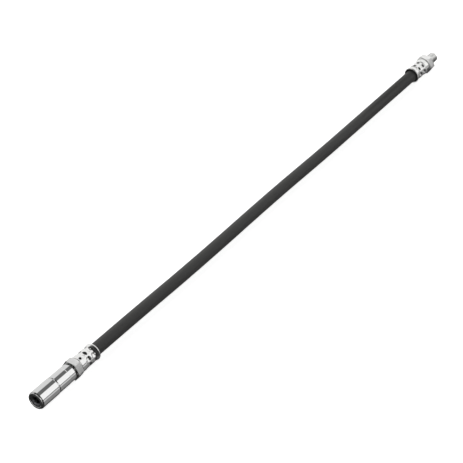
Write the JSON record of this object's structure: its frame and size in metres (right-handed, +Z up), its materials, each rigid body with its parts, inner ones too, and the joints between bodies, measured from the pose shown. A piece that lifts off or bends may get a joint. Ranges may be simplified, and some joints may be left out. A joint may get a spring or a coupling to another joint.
{
  "type": "flexible grease hose",
  "caption": "Flexible rubber grease hose with a push-on coupler with sprung jaws at one end and a male threaded nipple at the other.",
  "frame": {"origin": "middle of the underside of the hose's box as it lies on a bench: half way along the length, on the axis in plan, at the height of the hexagons' lower flats", "axes": "+X along the hose from the coupler's nose to the threaded end, +Z up, +Y across"},
  "size_m": [0.642, 0.0196, 0.017],
  "materials": {
    "chrome": "polished chrome plate on turned steel",
    "zinc_plate": "bright zinc plate on turned and crimped steel",
    "hardened_steel": "hardened steel, blackened",
    "turned_steel": "turned steel, bare",
    "spring_steel": "drawn spring wire",
    "wire_braid": "braided high tensile steel wire",
    "copper": "annealed copper sheet",
    "cover_rubber": "smooth extruded black rubber, matte",
    "liner_rubber": "smooth black nitrile",
    "seal_rubber": "moulded black nitrile"
  },
  "bodies": {
    "hose": {"coupler_body": "chrome", "jaw_spring": "spring_steel", "check_spring": "spring_steel", "valve_seat": "turned_steel", "coupler_gasket": "copper", "front_nipple": "zinc_plate", "front_ferrule": "zinc_plate", "hose_cover": "cover_rubber", "hose_braid": "wire_braid", "hose_liner": "liner_rubber", "rear_ferrule": "zinc_plate", "rear_nipple": "zinc_plate"},
    "nose_sleeve": {"nose_sleeve": "chrome"},
    "piston": {"piston": "turned_steel", "nozzle_seal": "seal_rubber", "piston_o_ring": "seal_rubber"},
    "jaw_1": {"jaw_1": "hardened_steel"},
    "jaw_2": {"jaw_2": "hardened_steel"},
    "jaw_3": {"jaw_3": "hardened_steel"},
    "jaw_4": {"jaw_4": "hardened_steel"},
    "check_ball": {"check_ball": "turned_steel"}
  },
  "joints": [
    {"name": "nose_sleeve_turn", "type": "hinge", "parent": "hose", "child": "nose_sleeve", "pos_m": [-0.3, 0, 0.0085], "axis": [-1, 0, 0], "range_deg": [0, 90]},
    {"name": "piston_slide", "type": "slide", "parent": "hose", "child": "piston", "axis": [1, 0, 0], "range_m": [0, 0.002], "stiffness_N_per_m": 400, "springref_m": -0.0005, "deforming": ["jaw_spring"]},
    {"name": "jaw_1_slide", "type": "slide", "parent": "hose", "child": "jaw_1", "axis": [0.9848, 0, -0.1736], "range_m": [0, 0.00203]},
    {"name": "jaw_2_slide", "type": "slide", "parent": "hose", "child": "jaw_2", "axis": [0.9848, 0.1736, 0], "range_m": [0, 0.00203]},
    {"name": "jaw_3_slide", "type": "slide", "parent": "hose", "child": "jaw_3", "axis": [0.9848, 0, 0.1736], "range_m": [0, 0.00203]},
    {"name": "jaw_4_slide", "type": "slide", "parent": "hose", "child": "jaw_4", "axis": [0.9848, -0.1736, 0], "range_m": [0, 0.00203]},
    {"name": "check_ball_lift", "type": "slide", "parent": "hose", "child": "check_ball", "axis": [-1, 0, 0], "range_m": [0, 0.0015], "stiffness_N_per_m": 60, "springref_m": -0.0003, "deforming": ["check_spring"]}
  ],
  "couplings": [
    {"joint": "jaw_1_slide", "follows": "piston_slide", "ratio": 1.0154},
    {"joint": "jaw_2_slide", "follows": "piston_slide", "ratio": 1.0154},
    {"joint": "jaw_3_slide", "follows": "piston_slide", "ratio": 1.0154},
    {"joint": "jaw_4_slide", "follows": "piston_slide", "ratio": 1.0154}
  ]
}
